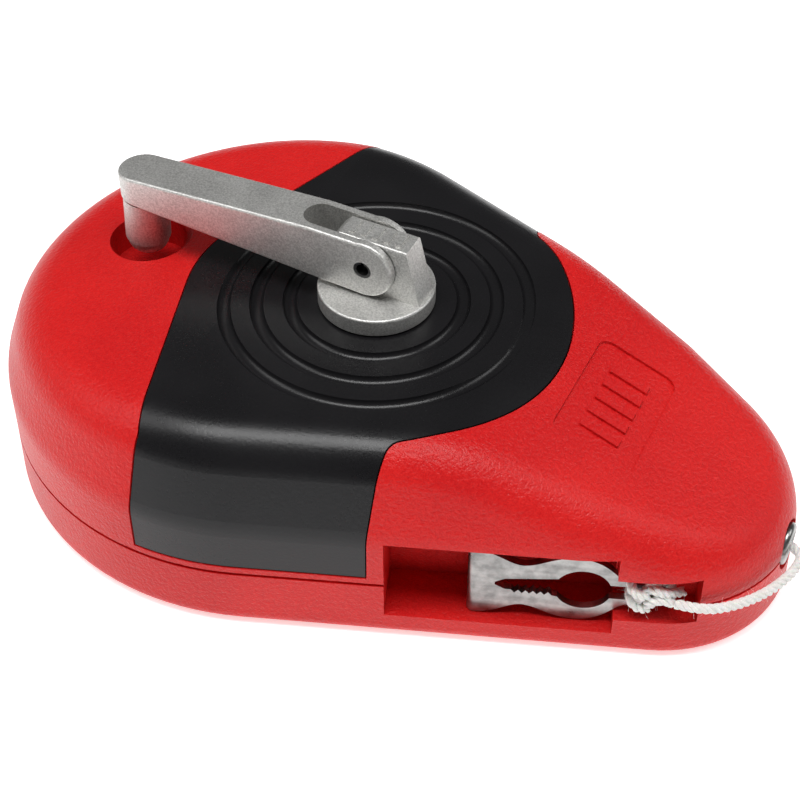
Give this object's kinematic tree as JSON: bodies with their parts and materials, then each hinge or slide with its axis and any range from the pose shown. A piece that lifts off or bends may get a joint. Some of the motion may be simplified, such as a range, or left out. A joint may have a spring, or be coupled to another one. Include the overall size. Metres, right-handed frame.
{
  "type": "chalk line reel",
  "caption": "Teardrop chalk line reel with a fold-down winding crank, grip cover, inner line spool, slide door and an end hook in its side pocket.",
  "frame": {"origin": "on the reel axis, in the plane of the flat back face that it lies on", "axes": "+X from the reel axis to the nose where the line comes out, +Z out of the front face along the reel axis, -Y to the side that stores the end hook"},
  "size_m": [0.1404, 0.0922, 0.0487],
  "materials": {
    "powder_red": "signal-red fine-textured powder coat",
    "grip_black": "satin black moulded plastic",
    "cast_grey": "bead-blasted zinc casting, worn bright on its edges",
    "zinc_steel": "zinc-plated stamped steel",
    "dark_steel": "phosphated spring steel",
    "cotton_line": "twisted white cotton line",
    "felt": "pressed grey felt",
    "inner_plastic": "natural nylon",
    "gasket_rubber": "black rubber",
    "fibre": "brown pressed fibre"
  },
  "bodies": {
    "casing": {"lower_casing": "powder_red", "upper_casing": "powder_red", "grip_cover": "grip_black", "casing_gasket": "gasket_rubber", "casing_screws": "zinc_steel", "cover_clips": "dark_steel", "hub_bush": "fibre", "clutch_spring": "dark_steel", "spool_washer": "inner_plastic", "felt_wiper": "felt", "line_eyelet": "zinc_steel", "inner_line_run": "cotton_line", "chalk_line": "cotton_line"},
    "crank": {"crank_hub": "cast_grey", "clutch_disc": "fibre", "spindle": "zinc_steel"},
    "arm": {"crank_arm": "cast_grey", "arm_hinge_pin": "dark_steel", "knob_post": "cast_grey"},
    "knob": {"knob_sleeve": "cast_grey"},
    "spool": {"reel_spool": "inner_plastic", "wound_line": "cotton_line"},
    "door": {"chalk_door": "grip_black"},
    "hook": {"end_hook": "zinc_steel", "line_knot": "cotton_line"}
  },
  "joints": [
    {"name": "arm_unfold", "type": "hinge", "parent": "crank", "child": "arm", "pos_m": [-0.0004, 0, 0.0436], "axis": [0, 1, 0], "range_deg": [0, 180]},
    {"name": "crank_turn", "type": "hinge", "parent": "casing", "child": "crank", "pos_m": [0, 0, 0.02], "axis": [0, 0, 1], "range_deg": [0, 360]},
    {"name": "spool_spin", "type": "hinge", "parent": "casing", "child": "spool", "pos_m": [0, 0, 0.015], "axis": [0, 0, 1], "continuous": true},
    {"name": "knob_spin", "type": "hinge", "parent": "arm", "child": "knob", "pos_m": [-0.0426, 0, 0.042], "axis": [-0.0767, 0, -0.9971], "continuous": true},
    {"name": "chalk_door_slide", "type": "slide", "parent": "casing", "child": "door", "axis": [-1, 0, 0], "range_m": [0, 0.016]},
    {"name": "hook_pull", "type": "slide", "parent": "casing", "child": "hook", "axis": [0.3441, -0.9389, 0], "range_m": [0, 0.01], "deforming": ["chalk_line"]}
  ],
  "couplings": [
    {"joint": "crank_turn", "follows": "arm_unfold", "ratio": 2}
  ]
}
